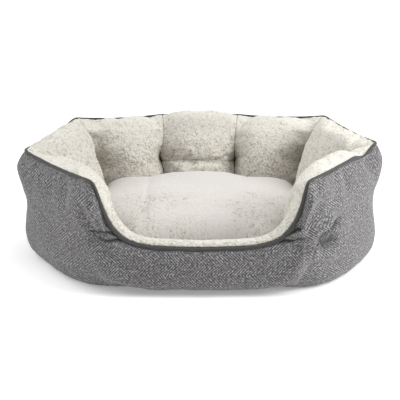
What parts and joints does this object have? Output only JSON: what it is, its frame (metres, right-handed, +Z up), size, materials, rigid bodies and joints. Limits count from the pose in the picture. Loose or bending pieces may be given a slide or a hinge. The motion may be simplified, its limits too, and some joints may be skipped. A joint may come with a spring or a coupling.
{
  "type": "pet cushion bed",
  "caption": "Padded oval pet bed with a tufted fleece-lined wall, a dipped front entrance, piped rim and a loose cushion.",
  "frame": {"origin": "on the floor, under the middle of the bed", "axes": "+X to the bed's right seen from the front, +Y to its back, +Z up"},
  "size_m": [0.614, 0.475, 0.2025],
  "materials": {
    "herringbone": "woven grey herringbone tweed",
    "sherpa": "curly off-white sherpa fleece",
    "piping": "charcoal twill piping",
    "cord_core": "twisted cotton cord",
    "fibre": "white polyester fibre fill",
    "base_cloth": "dark woven base cloth with grip dots",
    "thread": "waxed upholstery thread"
  },
  "bodies": {
    "bed": {"outer_cover_front": "herringbone", "outer_cover_back": "herringbone", "lining_front_left": "sherpa", "lining_side_left": "sherpa", "lining_back_left": "sherpa", "lining_back_centre": "sherpa", "lining_back_right": "sherpa", "lining_side_right": "sherpa", "lining_front_right": "sherpa", "lining_front": "sherpa", "wall_fill_front_left": "fibre", "wall_fill_side_left": "fibre", "wall_fill_back_left": "fibre", "wall_fill_back_centre": "fibre", "wall_fill_back_right": "fibre", "wall_fill_side_right": "fibre", "wall_fill_front_right": "fibre", "wall_fill_front": "fibre", "tuft_tie_1": "thread", "tuft_tie_2": "thread", "tuft_tie_3": "thread", "tuft_tie_4": "thread", "tuft_tie_5": "thread", "tuft_tie_6": "thread", "tuft_tie_7": "thread", "tuft_tie_8": "thread", "rim_piping": "piping", "rim_piping_cord": "cord_core", "base_fabric": "base_cloth", "base_batting": "fibre", "base_floor": "base_cloth"},
    "cushion": {"cushion_cover_top": "sherpa", "cushion_cover_bottom": "base_cloth", "cushion_fill": "fibre"}
  },
  "joints": [
    {"name": "cushion_lift", "type": "slide", "parent": "bed", "child": "cushion", "axis": [0, 0, 1], "range_m": [0, 0.25]}
  ]
}
